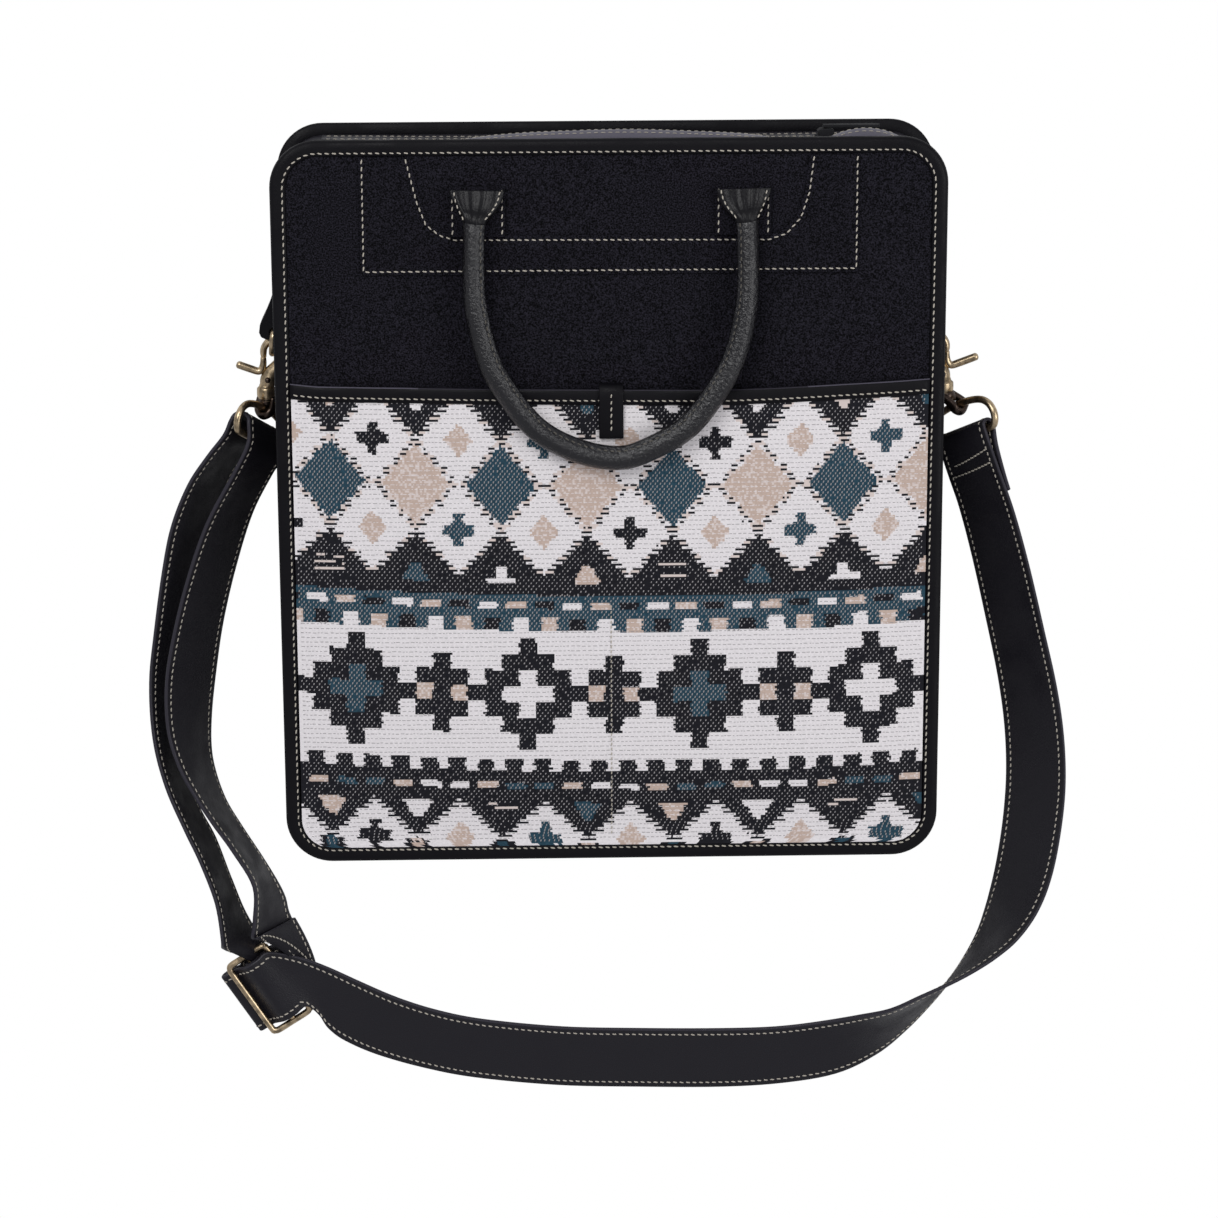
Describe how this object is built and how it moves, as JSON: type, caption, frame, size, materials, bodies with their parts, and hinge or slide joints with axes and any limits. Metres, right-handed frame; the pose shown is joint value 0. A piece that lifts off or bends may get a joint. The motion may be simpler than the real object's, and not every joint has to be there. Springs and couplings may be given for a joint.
{
  "type": "laptop bag",
  "caption": "Black leather laptop bag with a woven patterned front pocket, rolled handles and a clipped shoulder strap, lying on its back.",
  "frame": {"origin": "on the back binding's flat resting face, at the middle of the bag's bottom edge, so the bag lies on z = 0", "axes": "+X to the right as the front is looked at, +Y towards the bag's top, +Z out of the bag's front"},
  "size_m": [0.4914, 0.5389, 0.0925],
  "materials": {
    "leather": "semi-gloss, lightly grained",
    "suede": "matt, napped",
    "woven_cloth": "woven in cream, black, teal and beige yarns",
    "antique_brass": "antique, half polished",
    "dark_metal": "dark, half polished",
    "zip_cloth": "matt",
    "zip_nylon": "satin",
    "lining": "matt",
    "board": "matt"
  },
  "bodies": {
    "bag": {"back_binding": "leather", "back_chape_left": "leather", "back_chape_right": "leather", "front_binding": "leather", "front_chape_left": "leather", "front_chape_right": "leather", "front_yoke": "leather", "pocket_binding": "leather", "pocket_tab": "leather", "shoulder_strap": "leather", "side_bottom_gusset": "leather", "side_chape_left": "leather", "side_chape_right": "leather", "top_gusset_back": "leather", "top_gusset_front": "leather", "zip_end_tab_left": "leather", "zip_end_tab_right": "leather", "back_panel": "suede", "front_panel": "suede", "pocket_fabric": "woven_cloth", "strap_slider": "antique_brass", "strap_slider_bar": "antique_brass", "swivel_loop_left": "antique_brass", "swivel_loop_right": "antique_brass", "swivel_stud_left": "dark_metal", "swivel_stud_right": "dark_metal", "zip_tape_back": "zip_cloth", "zip_tape_front": "zip_cloth", "zip_coil": "zip_nylon", "laptop_sleeve": "lining", "lining": "lining", "base_stiffener": "board"},
    "front_handle": {"front_handle": "leather"},
    "back_handle": {"back_handle": "leather"},
    "zip_slider": {"zip_slider": "dark_metal"},
    "zip_puller": {"zip_puller": "dark_metal"},
    "d_ring_left": {"d_ring_left": "antique_brass"},
    "d_ring_right": {"d_ring_right": "antique_brass"},
    "hook_left": {"hook_body_left": "antique_brass"},
    "hook_right": {"hook_body_right": "antique_brass"},
    "gate_left": {"hook_gate_left": "antique_brass"},
    "gate_right": {"hook_gate_right": "antique_brass"}
  },
  "joints": [
    {"name": "front_handle_swing", "type": "hinge", "parent": "bag", "child": "front_handle", "pos_m": [0, 0.3513, 0.0761], "axis": [-1, 0, 0], "range_deg": [0, 150]},
    {"name": "back_handle_swing", "type": "hinge", "parent": "bag", "child": "back_handle", "pos_m": [0, 0.3513, 0.0022], "axis": [1, 0, 0], "range_deg": [0, 140]},
    {"name": "zip_slide", "type": "slide", "parent": "bag", "child": "zip_slider", "axis": [1, 0, 0], "range_m": [-0.232, 0.012]},
    {"name": "zip_puller_swing", "type": "hinge", "parent": "zip_slider", "child": "zip_puller", "pos_m": [0.1108, 0.3769, 0.036], "axis": [0, 0, 1], "range_deg": [0, 150]},
    {"name": "d_ring_left_swing", "type": "hinge", "parent": "bag", "child": "d_ring_left", "pos_m": [-0.1723, 0.274, 0.036], "axis": [0, 0, 1], "range_deg": [-3, 3]},
    {"name": "hook_left_swivel", "type": "hinge", "parent": "bag", "child": "hook_left", "pos_m": [-0.1776, 0.246, 0.036], "axis": [0, 1, 0], "range_deg": [-10, 10]},
    {"name": "gate_left_open", "type": "hinge", "parent": "hook_left", "child": "gate_left", "pos_m": [-0.1794, 0.2532, 0.036], "axis": [0, 0, -1], "range_deg": [0, 12], "stiffness_Nm_per_rad": 0.02},
    {"name": "d_ring_right_swing", "type": "hinge", "parent": "bag", "child": "d_ring_right", "pos_m": [0.1723, 0.274, 0.036], "axis": [0, 0, 1], "range_deg": [-3, 3]},
    {"name": "hook_right_swivel", "type": "hinge", "parent": "bag", "child": "hook_right", "pos_m": [0.1776, 0.246, 0.036], "axis": [0, 1, 0], "range_deg": [-10, 10]},
    {"name": "gate_right_open", "type": "hinge", "parent": "hook_right", "child": "gate_right", "pos_m": [0.1794, 0.2532, 0.036], "axis": [0, 0, 1], "range_deg": [0, 12], "stiffness_Nm_per_rad": 0.02}
  ]
}
